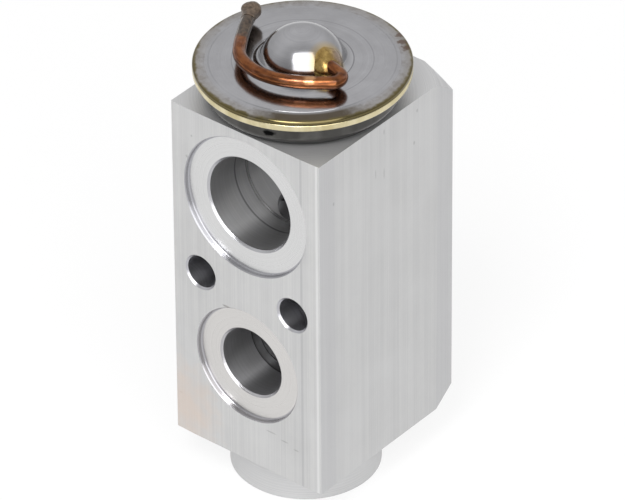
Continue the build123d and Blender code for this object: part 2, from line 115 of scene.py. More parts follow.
camera_data = bpy.data.cameras.new("camera")
camera_data.sensor_width = sensor_width
camera_data.lens = focal_pixels / photo_width * sensor_width
camera_data.clip_start = 0.01
camera = bpy.data.objects.new("camera", camera_data)
turned = Matrix.Rotation(camera_turn, 4, "Z") @ Matrix.Rotation(camera_tilt, 4, "X")
camera.matrix_world = Matrix.Translation(camera_place) @ turned @ Matrix.Rotation(camera_roll, 4, "Z")
bpy.context.scene.collection.objects.link(camera)
bpy.context.scene.camera = camera
bpy.context.scene.view_settings.view_transform = "Standard"
print("lens", round(camera_data.lens, 1), "mm")

# %% [markdown]
# ## Two small helpers for materials
# Colours are easiest to read off as sRGB hex values, but shaders work in linear light, so one function
# turns them. Another adds a node with its settings and its inputs in one line, because a node tree
# written out call by call hides what it does. It hands back the output, ready for the next node.

# %% Colour and node helpers
def linear(hex_colour):
    """Turns an sRGB hex colour into the linear colour that shaders expect."""
    channels = [int(hex_colour[i:i + 2], 16) / 255 for i in (1, 3, 5)]
    return [c / 12.92 if c <= 0.04045 else ((c + 0.055) / 1.055) ** 2.4 for c in channels] + [1.0]


def add_node(tree, kind, inputs=None, out=None, **settings):
    """Adds a node and hands back the output that is named, or else the first one in use.
    Inputs are plain values or the outputs of other nodes."""
    node = tree.nodes.new("ShaderNode" + kind)
    for name, value in settings.items():
        setattr(node, name, value)
    for name, value in (inputs or {}).items():
        if isinstance(value, bpy.types.NodeSocket):
            tree.links.new(value, node.inputs[name])
        else:
            node.inputs[name].default_value = value
    if out is not None:
        return node.outputs[out]
    in_use = [socket for socket in node.outputs if socket.enabled]
    return in_use[0] if in_use else node


print("linear mid grey", round(linear("#808080")[0], 3))

# %% [markdown]
# ## Studio
# The valve stands on a plain pale floor in soft light. One wide softbox stands round the camera: it makes
# the window-shaped highlight on the dome and the bright spots where a chamfer faces the lens. A small and
# brighter one stands higher and further to the left, and the bores mirror it as narrow bursts of light.
# The room behind the camera is darker than the walls and the ceiling, which is why the polished dome is
# darker beside its highlight than on top. The floor glows a little, so that it stays nearly white but
# still keeps the valve's soft shadow.

# %% World
white = (1, 1, 1, 1)
cast_light = 0.45
camera_side = (0.60, -0.73, 0.33)


def seen_or_mirrored(tree):
    """1 for rays from the camera, in a reflection or through glass, 0 for light that falls on things."""
    kinds = ("Is Camera Ray", "Is Glossy Ray", "Is Transmission Ray")
    rays = [add_node(tree, "LightPath", out=kind) for kind in kinds]
    either = add_node(tree, "Math", {0: rays[0], 1: rays[1]}, operation="MAXIMUM")
    return add_node(tree, "Math", {0: either, 1: rays[2]}, operation="MAXIMUM")


def room_brightness(tree):
    """The mirrored room: darker behind the camera and a little darker towards the horizon."""
    way = add_node(tree, "TexCoord", out="Generated")
    facing = add_node(tree, "VectorMath", {0: way, 1: camera_side}, operation="DOT_PRODUCT")
    behind_camera = add_node(tree, "MapRange", {0: facing, 1: 0.05, 2: 0.85, 3: 1.0, 4: 0.45})
    rise = add_node(tree, "SeparateXYZ", {0: way}, out="Z")
    near_horizon = add_node(tree, "MapRange", {0: rise, 1: 0.15, 2: 0.62, 3: 0.72, 4: 0.96})
    return add_node(tree, "Math", {0: behind_camera, 1: near_horizon}, operation="MULTIPLY")


world = bpy.data.worlds.new("studio")
world.use_nodes = True
bpy.context.scene.world = world
sky = world.node_tree
sky.nodes.clear()
cast = add_node(sky, "Background", {"Strength": cast_light, "Color": white})
room = add_node(sky, "Background", {"Strength": room_brightness(sky), "Color": white})
backdrop = add_node(sky, "Background", {"Strength": 1.0, "Color": white})
seen = add_node(sky, "MixShader", {0: add_node(sky, "LightPath", out="Is Camera Ray"), 1: room, 2: backdrop})
light = add_node(sky, "MixShader", {0: seen_or_mirrored(sky), 1: cast, 2: seen})
add_node(sky, "OutputWorld", {"Surface": light})
print("world", len(sky.nodes), "nodes")

# %% Floor
floor_reach = 2.0  # metres each way
floor_drop = 0.02  # keeps the floor clear of the spigot's foot
floor_glow = 0.82
floor_mesh = bpy.data.meshes.new("floor")
floor_build = bmesh.new()
bmesh.ops.create_grid(floor_build, x_segments=1, y_segments=1, size=floor_reach)
bmesh.ops.translate(floor_build, verts=floor_build.verts, vec=(0, 0, -floor_drop * MM))
floor_build.to_mesh(floor_mesh)
floor_build.free()
floor = bpy.data.objects.new("floor", floor_mesh)
bpy.context.scene.collection.objects.link(floor)

# Matt studio paper: it has no gloss, so all that it shows is the valve's soft shadow.
paper = bpy.data.materials.new("pale_floor_paper")
paper.use_nodes = True
sheet = paper.node_tree
sheet.nodes.clear()
matt = add_node(sheet, "BsdfDiffuse", {"Color": linear("#FAFAFA")})
glow = add_node(sheet, "Emission", {"Color": white, "Strength": 1.0})
share = add_node(sheet, "Math", {0: seen_or_mirrored(sheet), 1: floor_glow}, operation="MULTIPLY")
add_node(sheet, "OutputMaterial", {"Surface": add_node(sheet, "MixShader", {0: share, 1: matt, 2: glow})})
floor_mesh.materials.append(paper)
print("floor", round(floor.dimensions.x, 1), "m wide")

# %% Softboxes
aim_height = 0.06  # metres above the floor, near the middle of the valve


def softbox(name, turn, rise, away, width, height, radiance):
    """An area lamp turned from the front and raised by these angles, with a face of this brightness.
    Its distance and size are in metres."""
    lamp = bpy.data.lights.new(name, "AREA")
    lamp.shape = "RECTANGLE"
    lamp.size = width
    lamp.size_y = height
    lamp.energy = radiance * pi * width * height
    holder = bpy.data.objects.new(name, lamp)
    aim = Vector((sin(turn) * cos(rise), -cos(turn) * cos(rise), sin(rise)))
    facing = aim.to_track_quat("Z", "Y").to_matrix().to_4x4()
    holder.matrix_world = Matrix.Translation(aim * away + Vector((0, 0, aim_height))) @ facing
    bpy.context.scene.collection.objects.link(holder)
    return holder


key_light = softbox("key_softbox", radians(44), radians(33), 1.7, 1.8, 2.6, 2.6)
spot_light = softbox("bright_middle", radians(20), radians(53), 1.5, 0.45, 0.45, 12.0)
print("softboxes", round(key_light.data.energy, 1), "and", round(spot_light.data.energy, 1), "W")

# %% [markdown]
# ## Patterns in millimetres
# Every pattern below is measured on the real part, so it is easier to think in millimetres. A Mapping
# node scales the object coordinates by a thousand and moves them to an axis, and a second one stretches
# them. The distance from an axis turns a straight pattern into the rings that a lathe tool leaves. Such
# rings also spread a highlight across them, so each turned finish says which way that is. One pixel of
# the photograph is 0.2 mm, so lines and rings that are finer on the real part are drawn about that wide.

# %% Pattern helpers
def object_mm(tree, stretch=(1, 1, 1), centre=(0, 0, 0)):
    """Object coordinates in millimetres, measured from a centre and then stretched."""
    place = add_node(tree, "TexCoord", out="Object")
    back = [-c for c in centre]
    moved = add_node(tree, "Mapping", {"Vector": place, "Scale": (1 / MM, 1 / MM, 1 / MM), "Location": back})
    return add_node(tree, "Mapping", {"Vector": moved, "Scale": stretch})


def distance_mm(tree, stretch=(1, 1, 1), centre=(0, 0, 0)):
    """Distance from a point, or from an axis where the stretch is 0 along it."""
    return add_node(tree, "VectorMath", {0: object_mm(tree, stretch, centre)}, operation="LENGTH")


def position_mm(tree, axis):
    return add_node(tree, "SeparateXYZ", {0: object_mm(tree)}, out=axis)


def grain(tree, feature, detail=2.0, rough=0.5, stretch=(1, 1, 1), centre=(0, 0, 0)):
    """Noise whose features are about this many millimetres wide. It stays mostly between 0.3 and 0.7."""
    inputs = {"Vector": object_mm(tree, stretch, centre), "Scale": 1 / feature}
    return add_node(tree, "TexNoise", {**inputs, "Detail": detail, "Roughness": rough})


def lines_along(tree, value, feature, detail=2.0):
    """Noise along one number in millimetres, for rings and lines."""
    line = add_node(tree, "CombineXYZ", {0: value})
    return add_node(tree, "TexNoise", {"Vector": line, "Scale": 1 / feature, "Detail": detail})


def tint(tree, base, shade, pattern, low=0.0, high=1.0, strength=1.0):
    """Lays a shade over a base: none where the pattern is at low, this much where it is at high. Both
    are sRGB hex colours or the outputs of other nodes."""
    base, shade = [linear(colour) if isinstance(colour, str) else colour for colour in (base, shade)]
    amount = add_node(tree, "MapRange", {0: pattern, 1: low, 2: high, 3: 0.0, 4: strength})
    return add_node(tree, "Mix", {0: amount, 6: base, 7: shade}, data_type="RGBA")


def between(tree, value, low, high, soft):
    """1 from low to high with soft ends, and 0 outside."""
    start = add_node(tree, "MapRange", {0: value, 1: low, 2: low + soft})
    end = add_node(tree, "MapRange", {0: value, 1: high, 2: high - soft})
    return add_node(tree, "Math", {0: start, 1: end}, operation="MULTIPLY")


def uneven_edge(tree, value, pattern, least, most):
    """The value with this much of a pattern added, so that what follows it gets an uneven edge."""
    shift = add_node(tree, "MapRange", {0: pattern, 1: 0.3, 2: 0.7, 3: least, 4: most})
    return add_node(tree, "Math", {0: value, 1: shift}, operation="ADD")


def speckle(tree, spacing, size, shift=0.0):
    """Small scattered marks: 1 inside a mark, 0 elsewhere."""
    place = object_mm(tree, centre=(shift, shift, shift))
    cells = add_node(tree, "TexVoronoi", {"Vector": place, "Scale": 1 / spacing})
    return add_node(tree, "MapRange", {0: cells, 1: size, 2: size * 0.4})


def mark(tree, centre, size, stretch=(1, 1, 1), ragged=0.0):
    """One mark at a known place: 1 in its middle, 0 outside. A ragged mark has an uneven edge."""
    reach = distance_mm(tree, stretch, centre)
    away = uneven_edge(tree, reach, grain(tree, 0.9, 4.0, 0.7), -ragged, ragged)
    return add_node(tree, "MapRange", {0: away, 1: size, 2: size * 0.55})


def across_rings(tree, flat, centre, axis):
    """The direction across the tool's rings, on walls, cones and flat faces alike."""
    outward = add_node(tree, "VectorMath", {0: object_mm(tree, flat, centre)}, operation="NORMALIZE")
    return add_node(tree, "VectorMath", {0: outward, 1: axis}, operation="ADD")


print("patterns are measured in millimetres")

# %% Finishes
def finish(name, colour, roughness, height=None, bump_mm=0.01, metallic=1.0, across=None, spread=0.5):
    """A named finish: a colour, a roughness (one value, a pattern, or a low and a high one for the
    relief), a relief of some hundredths of a millimetre, and for a turned face the way in which it
    spreads a highlight."""
    material = bpy.data.materials.new(name)
    material.use_nodes = True
    tree = material.node_tree
    tree.nodes.clear()
    inputs = {"Base Color": colour(tree), "Metallic": metallic, "Roughness": roughness}
    if isinstance(roughness, tuple):
        low, high = roughness
        inputs["Roughness"] = add_node(tree, "MapRange", {0: height(tree), 1: 0.3, 2: 0.7, 3: high, 4: low})
    if callable(roughness):
        inputs["Roughness"] = roughness(tree)
    if height is not None:
        relief = {"Height": height(tree), "Distance": bump_mm * MM, "Strength": 1.0}
        inputs["Normal"] = add_node(tree, "Bump", relief)
    if across is not None:
        inputs["Tangent"] = across(tree)
        inputs["Anisotropic"] = spread
    add_node(tree, "OutputMaterial", {"Surface": add_node(tree, "BsdfPrincipled", inputs)})
    return material


print("a finish has a colour, a roughness and a relief")

# %% [markdown]
# ## Finish of the extruded sides
# The four sides still show how the bar was pressed through its die: very fine straight lines along its
# length, soft wider bands, a few specks and short handling scratches. The narrow sides and a strip beside
# each of their corners are painted a little darker as shade. Along the front, a painted shade line follows
# the fold of the relief strip and a painted highlight runs beside the right corner.
# Noise that is squeezed some hundred times along the length makes the lines. The lower left of the front
# has a warm stain. Marks that the photograph shows at one place only are listed with their places.

# %% Extruded aluminium
def drawn_lines(tree):
    """The die's lines. The finest real ones are narrower than a pixel, so these are 0.22 mm wide."""
    fine = grain(tree, 0.22, 2.0, 0.6, stretch=(1, 1, 0.004))
    bands = grain(tree, 1.9, 1.0, stretch=(1, 1, 0.006))
    return add_node(tree, "Mix", {0: 0.35, 2: fine, 3: bands}, data_type="FLOAT")


def narrow_sides(tree):
    """1 on the two narrow sides of the block."""
    side = add_node(tree, "Math", {0: position_mm(tree, "X")}, operation="ABSOLUTE")
    return add_node(tree, "MapRange", {0: side, 1: half_width - 0.1, 2: half_width - 0.02})


def corner_strips(tree):
    """1 on the strips beside the corners of the two narrow sides."""
    inner = between(tree, position_mm(tree, "Y"), front + relief_width, rear - relief_width, 0.4)
    outer = add_node(tree, "Math", {0: 1.0, 1: inner}, operation="SUBTRACT")
    return add_node(tree, "Math", {0: narrow_sides(tree), 1: outer}, operation="MULTIPLY")


def front_line(tree, low, high):
    """1 on one upright line along the front face, from low to high in x."""
    on_front = add_node(tree, "MapRange", {0: position_mm(tree, "Y"), 1: front + 0.6, 2: front + 0.4})
    line = between(tree, position_mm(tree, "X"), low, high, 0.2)
    return add_node(tree, "Math", {0: on_front, 1: line}, operation="MULTIPLY")


# Place and size in mm and stretch of the dark nicks, read off the photograph.
nicks = [
    ((half_width, 12.0, 82.3), 0.34, (1, 1, 0.7)),
    ((half_width, 11.1, 75.4), 0.32, (1, 1, 0.6)),
    ((half_width, 2.0, 73.3), 0.18, (1, 1, 0.12)),
    ((half_width, -0.5, 74.4), 0.16, (1, 1, 0.12)),
    ((half_width, 2.0, 82.7), 0.22, (1, 1, 0.3)),
    ((half_width, -13.1, 74.4), 0.30, (1, 1, 0.6)),
    ((-14.2, front, 73.9), 0.36, (1, 1, 1)),
    ((-12.9, front, 79.1), 0.28, (1, 1, 1)),
    ((-8.8, front, 22.3), 0.34, (0.8, 1, 1.5)),
    ((5.8, front, 18.2), 0.20, (0.13, 1, 1)),
    ((9.1, front, 17.5), 0.22, (0.2, 1, 1)),
    ((12.0, front, 16.7), 0.20, (0.25, 1, 1)),
    ((-16.9, front, 17.4), 0.24, (0.4, 1, 1)),
]
dark_stroke_place = (-4.8, front, 43.1)
stain_place = (-15.6, front, 14.5)


def extruded_colour(tree):
    tone = tint(tree, "#BFBFBF", "#CACAC9", drawn_lines(tree), 0.38, 0.62)
    tone = tint(tree, tone, "#BEBEC0", grain(tree, 0.9, 3.0, 0.6, stretch=(1, 1, 0.6)), 0.35, 0.65, 0.30)
    tone = tint(tree, tone, "#D2D2D2", grain(tree, 11.0), 0.35, 0.65, 0.35)
    # Painted shade: the narrow sides a little darker than the front and the rear.
    tone = tint(tree, tone, "#B9B9BA", narrow_sides(tree), strength=0.3)
    # Painted shade on the strips beside the corners of the narrow sides.
    tone = tint(tree, tone, "#B8B8BA", corner_strips(tree), strength=0.5)
    # Painted shade: a darker line along the fold where the right relief strip starts.
    tone = tint(tree, tone, "#A9A9AB", front_line(tree, flat_side - 0.15, flat_side + 0.55), strength=0.5)
    # Painted highlight: a light line beside the right front corner.
    tone = tint(tree, tone, "#E2E2E2", front_line(tree, half_width - 1.05, half_width - 0.3), strength=0.6)
    tone = tint(tree, tone, "#8A8A8A", speckle(tree, 2.4, 0.03), strength=0.4)
    for centre, size, stretch in nicks:
        tone = tint(tree, tone, "#7C7C7C", mark(tree, centre, size, stretch), strength=0.35)
    # A short upright dark stroke on the front, just above the liquid port's recess.
    tone = tint(tree, tone, "#77736E", mark(tree, dark_stroke_place, 1.3, (1, 1, 4.5), 0.25), strength=0.6)
    away = distance_mm(tree, (1, 0.7, 0.7), stain_place)
    stain = uneven_edge(tree, away, grain(tree, 3.0, 3.0), 3.5, -1.0)
    return tint(tree, tone, "#D6C5B8", stain, 10.5, 2.5, 0.6)


# Aluminium as the die leaves it: light grey and matt, with upright lines that blur every reflection.
extruded = finish("extruded_aluminium", extruded_colour, (0.38, 0.48), drawn_lines, 0.006, metallic=0.88)
print(extruded.name, len(extruded.node_tree.nodes), "nodes")

# %% [markdown]
# ## Finishes left by the lathe and the cutters
# A turned face has rings about the axis it was turned on. Distance from the axis plus the position along
# it gives one number that changes on flat faces, cones and cylinders alike, so one noise along that
# number draws the rings everywhere. The bores are duller than the faced recesses, and fine dark lines
# run round them at the depths listed. The tool's feed sets how wide its rings are: about 0.15 mm a turn
# where it turned or faced, and more in the holes and bores.

# %% Turned ends of the block
def axis_rings(flat, centre, feature, slope=0.8):
    """Rings about one axis. Flat is 0 along that axis and 1 across it."""
    def rings(tree):
        axis = [1 - share_across for share_across in flat]
        along = add_node(tree, "VectorMath", {0: object_mm(tree), 1: axis}, operation="DOT_PRODUCT")
        reach = distance_mm(tree, flat, centre)
        run = add_node(tree, "Math", {0: along, 1: slope, 2: reach}, operation="MULTIPLY_ADD")
        return lines_along(tree, run, feature)
    return rings


origin = (0, 0, 0)
valve_flat = (1, 1, 0)
valve_rings = axis_rings(valve_flat, origin, 0.16)


def turned_colour(tree):
    """Painted shade: a little darker low down, where the spigot stands."""
    upper = tint(tree, "#C2C2C3", "#CECECF", valve_rings(tree), 0.35, 0.65)
    lower = tint(tree, "#BEBEBF", "#CCCCCC", valve_rings(tree), 0.35, 0.65)
    tone = tint(tree, upper, lower, position_mm(tree, "Z"), 60.0, 40.0)
    return tint(tree, tone, "#8A8A8A", speckle(tree, 2.0, 0.04, 3.0), strength=0.5)


# Turned aluminium: a silky sheen that spreads across the tool's rings.
turned_end = finish("turned_aluminium", turned_colour, (0.42, 0.54), valve_rings, 0.006, metallic=0.8,
                    across=lambda tree: across_rings(tree, valve_flat, origin, (0, 0, 1)), spread=0.3)
print(turned_end.name)

# %% Bored ports
dark_line_half = 0.26  # half the width of a dark line round a bore


def port_finish(name, height, radii, mouths, bored_tones, warm=0.0, dark_lines=()):
    """Finish of one port: a bright faced recess whose wall and mouth chamfer are painted darker as shade,
    and a duller bore between the mouths (y from, to). The radii are those of the recess and of the bore.
    Each dark line has its y and its strength, and warm is how much of the stain on the front reaches into
    the recess."""
    flat, centre = (1, 0, 1), (0, 0, height)
    recess_radius, bore_radius = radii
    faced_rings, bored_rings = axis_rings(flat, centre, 0.14, 0.9), axis_rings(flat, centre, 0.4, 0.9)

    def colour(tree):
        depth = position_mm(tree, "Y")
        reach = distance_mm(tree, flat, centre)
        wall = between(tree, reach, recess_radius - recess_corner, recess_radius + 0.4, 0.15)
        mouth = between(tree, reach, bore_radius - 0.3, bore_radius + 0.5, 0.12)
        faced = tint(tree, "#CECECE", "#DADADA", faced_rings(tree), 0.3, 0.7)
        faced = tint(tree, faced, "#C8C1BA", depth, front + 3.0, front, warm)
        # Painted shade on the recess wall with its corner, and on the bore's mouth chamfer.
        faced = tint(tree, faced, "#8F8F97", wall, strength=0.65)
        faced = tint(tree, faced, "#A2A2A8", mouth, strength=0.6)
        bored = tint(tree, bored_tones[0], bored_tones[1], bored_rings(tree), 0.3, 0.7)
        bored = tint(tree, bored, "#A4A2A0", grain(tree, 3.0, 3.0, stretch=(1, 0.6, 1)), 0.35, 0.65, 0.2)
        for stop, strength in dark_lines:
            line = between(tree, depth, stop - dark_line_half, stop + dark_line_half, 0.1)
            bored = tint(tree, bored, "#3C3C3C", line, strength=strength)
        return tint(tree, faced, bored, between(tree, depth, *mouths, 0.1))

    def dullness(tree):
        faced = add_node(tree, "MapRange", {0: faced_rings(tree), 1: 0.3, 2: 0.7, 3: 0.30, 4: 0.20})
        inside = between(tree, position_mm(tree, "Y"), *mouths, 0.1)
        return add_node(tree, "Mix", {0: inside, 2: faced, 3: 0.40}, data_type="FLOAT")

    return finish(name, colour, dullness, faced_rings, 0.005,
                  across=lambda tree: across_rings(tree, flat, centre, (0, 1, 0)), spread=0.8)


# Faced and bored aluminium: a bright ring of recess with painted shade on its wall and mouth chamfer, and a
# grey bore wall with one soft burst of light.
bore_mouth = front + recess_depth + mouth_chamfer
rear_mouth = rear - recess_depth - mouth_chamfer
suction_port = port_finish("bored_suction_port", suction_axis, (suction_recess, suction_bore),
                           (bore_mouth, rear_mouth), ("#ACACAD", "#BABABB"),
                           dark_lines=((-8.7, 0.55), (-5.35, 0.9)))
liquid_port = port_finish("bored_liquid_port", liquid_axis, (liquid_recess, liquid_bore),
                          (bore_mouth, rear), ("#A6A6A8", "#B2B2B4"), 0.5,
                          dark_lines=((-7.5, 0.85),))
inlet_port = port_finish("bored_inlet_port", inlet_axis, (inlet_recess, inlet_bore),
                         (front, rear_mouth), ("#A6A6A7", "#B8B8B9"))
print(suction_port.name, liquid_port.name, inlet_port.name)

# %% Drilled holes and the bore on the valve axis
# The two holes share one finish, so its marks follow the sum of the coordinates, not one hole's axis.
drill_flat = (0, 0, 0)
drill_rings = axis_rings(drill_flat, origin, 0.2, 0.33)


def drilled_colour(tree):
    walls = tint(tree, "#BEBEC2", "#D0D0D4", drill_rings(tree), 0.3, 0.7)
    inside = between(tree, position_mm(tree, "Y"), front + 0.3, rear - 0.3, 0.15)
    return tint(tree, "#BABABE", walls, inside)


def axial_colour(tree):
    rings = lines_along(tree, position_mm(tree, "Z"), 0.25)
    return tint(tree, "#969697", "#AAAAAB", rings, 0.3, 0.7)


# Drilled aluminium: a bright edge round a dark wall. Bored deep inside: dull grey rings.
drilled = finish("drilled_aluminium", drilled_colour, (0.26, 0.38), drill_rings, 0.008,
                 across=lambda tree: across_rings(tree, drill_flat, origin, (0, 1, 0)), spread=0.6)
axial_bore = finish("bored_valve_axis", axial_colour, 0.34, valve_rings, 0.008)
print(drilled.name, axial_bore.name)

# %% [markdown]
# ## The block
# On the real valve the block starts as a bar pressed through a die and sawn to length. A lathe turns both
# ends, and then each port, hole and bore is cut. The model repeats those steps: a bar is extruded from its
# outline, a turned body is intersected with it, and each cutter is a profile spun round its axis. Every
# cutter carries the finish that it leaves, and the Boolean hands that finish to the faces it makes.

# %% Helpers for turned shapes
lathe_steps = 192
merge_reach = 0.002  # points closer than this are one


def new_piece(name, build, material):
    """Turns a finished bmesh into an object at the origin that wears this material."""
    mesh = bpy.data.meshes.new(name)
    build.to_mesh(mesh)
    build.free()
    mesh.materials.append(material)
    piece = bpy.data.objects.new(name, mesh)
    bpy.context.scene.collection.objects.link(piece)
    return piece


def chain(build, points):
    """A string of edges through a few points in the plane of the profile (radius, height)."""
    corners = [build.verts.new((radius * MM, 0, height * MM)) for radius, height in points]
    for one, other in zip(corners, corners[1:]):
        build.edges.new((one, other))
    return corners


def lathe(build, steps=lathe_steps):
    """Spins everything in the bmesh a full turn about the upright axis and closes it."""
    geometry = build.verts[:] + build.edges[:]
    bmesh.ops.spin(build, geom=geometry, axis=(0, 0, 1), cent=(0, 0, 0), angle=2 * pi, steps=steps,
                   use_merge=True)
    bmesh.ops.remove_doubles(build, verts=build.verts, dist=merge_reach * MM)
    bmesh.ops.recalc_face_normals(build, faces=build.faces)


def cutter(name, points, axis, place, material):
    """A turned tool: its profile gives (radius, distance along the axis) in millimetres."""
    build = bmesh.new()
    chain(build, points)
    lathe(build)
    if axis == "Y":
        bmesh.ops.rotate(build, verts=build.verts, matrix=Matrix.Rotation(radians(-90), 3, "X"))
    bmesh.ops.translate(build, verts=build.verts, vec=Vector(place) * MM)
    return new_piece(name, build, material)


print("lathe steps", lathe_steps, "so one facet turns", round(360 / lathe_steps, 2), "degrees")

# %% Bar
corner_round = 0.2
overcut = 1.0
bar_outline = [(half_width, rear), (-half_width, rear), (-half_width, front + relief_drop),
               (-flat_side, front), (flat_side, front), (half_width, front + relief_drop)]


def upright_corner(edge):
    """True for the long upright edges at the bar's four outer corners."""
    return edge.calc_length() > 0.05 and abs(edge.verts[0].co.x) > (half_width - 1) * MM


bar = bmesh.new()
base = bar.faces.new([bar.verts.new((x * MM, y * MM, -overcut * MM)) for x, y in bar_outline])
raised = bmesh.ops.extrude_face_region(bar, geom=[base])["geom"]
bar_top = [v for v in raised if isinstance(v, bmesh.types.BMVert)]
bmesh.ops.translate(bar, verts=bar_top, vec=(0, 0, (block_top + 2 * overcut) * MM))
bmesh.ops.recalc_face_normals(bar, faces=bar.faces)
upright = [edge for edge in bar.edges if upright_corner(edge)]
bmesh.ops.bevel(bar, geom=upright, offset=corner_round * MM, segments=5, profile=0.5, affect="EDGES",
                material=-1)
block = new_piece("block", bar, extruded)
print("bar with", len(upright), "rounded corners")

# %% Turned body
cone_radius, cone_depth = 25.5, 6.0
spigot_chamfer = 0.3
body_profile = [
    (0, 0), (spigot_radius - spigot_chamfer, 0), (spigot_radius, spigot_chamfer),
    (spigot_radius, spigot_height), (cone_radius, spigot_height),
    (cone_radius + cone_depth, spigot_height + cone_depth),
    (cone_radius + cone_depth, block_top - cone_depth), (cone_radius, block_top), (0, block_top),
]
turned_body = cutter("turned_body", body_profile, "Z", (0, 0, 0), turned_end)
print("turned body with", len(body_profile), "corners")

# %% Cutters of the ports and holes
bore_stops = (-5.5, 11.0)  # where the two bores of the suction port end
bore_step = 0.3
liquid_stop, liquid_passage, liquid_reach = -7.5, 5.0, 4.5
inlet_stop, inlet_passage, inlet_drop = 11.0, 3.2, 2.0
inlet_reach = (0.2, 12.5)
hole_chamfer = 0.4


def port_mouth(face, inward, recess, bore):
    """Recess and mouth of a port from its face inwards, with the tool's corner radius in the recess."""
    shoulder = recess - recess_corner
    start = recess_depth - recess_corner
    edge = recess + recess_edge
    steps = [(0, -overcut), (edge, -overcut), (edge, 0), (recess, recess_edge)]
    for turn in (0, 22.5, 45, 67.5, 90):
        across, down = recess_corner * cos(radians(turn)), recess_corner * sin(radians(turn))
        steps.append((shoulder + across, start + down))
    steps += [(bore + mouth_chamfer, recess_depth), (bore, recess_depth + mouth_chamfer)]
    return [(radius, face + inward * depth) for radius, depth in steps]


suction_passage = suction_bore - bore_step
suction_profile = port_mouth(front, 1, suction_recess, suction_bore) + [
    (suction_bore, bore_stops[0]), (suction_passage, bore_stops[0] + bore_step),
    (suction_passage, bore_stops[1] - bore_step), (suction_bore, bore_stops[1]),
] + port_mouth(rear, -1, suction_recess, suction_bore)[::-1]
liquid_profile = port_mouth(front, 1, liquid_recess, liquid_bore) + [
    (liquid_bore, liquid_stop), (liquid_passage, liquid_stop), (liquid_passage, liquid_reach),
    (0, liquid_reach),
]
inlet_profile = [
    (0, inlet_stop), (inlet_bore, inlet_stop),
] + port_mouth(rear, -1, inlet_recess, inlet_bore)[::-1]
passage_profile = [(0, inlet_reach[0]), (inlet_passage, inlet_reach[0]), (inlet_passage, inlet_reach[1]),
                   (0, inlet_reach[1])]
hole_mouth = hole_radius + hole_chamfer
hole_profile = [
    (0, front - overcut), (hole_mouth, front - overcut), (hole_mouth, front),
    (hole_radius, front + hole_chamfer), (hole_radius, rear - hole_chamfer),
    (hole_mouth, rear), (hole_mouth, rear + overcut), (0, rear + overcut),
]
print("suction passage", round(suction_passage, 2), "mm in radius")

# %% Cutter of the bore on the valve axis
# Radius, start and end of each step of the bore, from the foot upwards.
axial_steps = [
    (7.95, -overcut, 0),  # mouth of the plug's thread
    (7.55, 0.4, 5.45),  # thread of the adjusting plug
    (6.55, 5.45, 23.2),  # spring chamber
    (5.0, 23.2, 26.2),  # seat ring
    (4.0, 26.2, liquid_axis),  # gallery above the seat
    (1.25, liquid_axis, 48.8),  # push pin
    (2.85, 48.8, 54.4),  # sensing rod's guide
    (5.0, 54.4, suction_axis),  # pocket of the rod's seal
    (6.5, suction_axis, 79.4),  # passage to the head
    (10.05, 79.4, 83.4),  # thread of the head's neck
    (11.7, 83.4, block_top + overcut),  # seat of the head's seal
]
axial_profile = [(0, -overcut)]
for radius, low, high in axial_steps:
    axial_profile += [(radius, low), (radius, high)]
axial_profile.append((0, block_top + overcut))
cutters = [
    cutter("suction_cutter", suction_profile, "Y", (0, 0, suction_axis), suction_port),
    cutter("liquid_cutter", liquid_profile, "Y", (0, 0, liquid_axis), liquid_port),
    cutter("inlet_cutter", inlet_profile, "Y", (0, 0, inlet_axis), inlet_port),
    cutter("inlet_passage_cutter", passage_profile, "Y", (0, 0, inlet_axis - inlet_drop), inlet_port),
    cutter("left_hole_cutter", hole_profile, "Y", (-hole_side, 0, hole_axis), drilled),
    cutter("right_hole_cutter", hole_profile, "Y", (hole_side, 0, hole_axis), drilled),
    cutter("axial_cutter", axial_profile, "Z", (0, 0, 0), axial_bore),
]
print(len(cutters), "cutters")

# %% Cut the block
def cut(piece, tool, operation):
    step = piece.modifiers.new(tool.name, "BOOLEAN")
    step.operation = operation
    step.object = tool
    step.solver = "EXACT"
    step.material_mode = "TRANSFER"


def apply_modifiers(piece):
    """Replaces the piece's mesh with what its modifiers make of it."""
    shaped = piece.evaluated_get(bpy.context.evaluated_depsgraph_get())
    mesh = bpy.data.meshes.new_from_object(shaped)
    piece.modifiers.clear()
    piece.data = mesh
    mesh.name = piece.name
    return mesh


cut(block, turned_body, "INTERSECT")
for tool in cutters:
    cut(block, tool, "DIFFERENCE")
block_mesh = apply_modifiers(block)
for tool in [turned_body] + cutters:
    bpy.data.objects.remove(tool)
print("block cut", len(cutters) + 1, "times")

# %% Crisp edges and the place in the model
def shade(mesh, sharp_degrees, front_degrees=180.0):
    """Smooth shading with crisp edges where two faces meet at more than this angle. The two planes of the
    front face meet at a very small angle and stay apart as well."""
    build = bmesh.new()
    build.from_mesh(mesh)
    for face in build.faces:
        face.smooth = True
    for edge in build.edges:
        turn = degrees(edge.calc_face_angle(0))
        on_front = turn > front_degrees and all(abs(face.normal.y) > 0.99 for face in edge.link_faces)
        edge.smooth = not (turn > sharp_degrees or on_front)
    build.to_mesh(mesh)
    build.free()


def stand_for(piece, node_name, body="valve_body"):
    """Says which CAD node this piece stands for, hides that node and hangs the piece on the body it rides
    on.
    """
    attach(piece, body)
    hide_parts(node_name)
    print(piece.name, "stands for", node_name, "with", len(piece.data.polygons), "faces")


shade(block_mesh, 20.0, 1.0)
stand_for(block, "valve_block")

# %% [markdown]
# ## Finish of the power head
# The two discs of the head are pressed from stainless sheet and polished in the lathe, so they mirror
# what stands above them and show faint rings. Welding the rim left straw and brown tints there, which
# grow towards the rim. At the front the outer band is painted darker, partly as that brown tint and partly
# as a painted dark reflection. The case was rolled, and its waist under the rim is painted dark as shade.

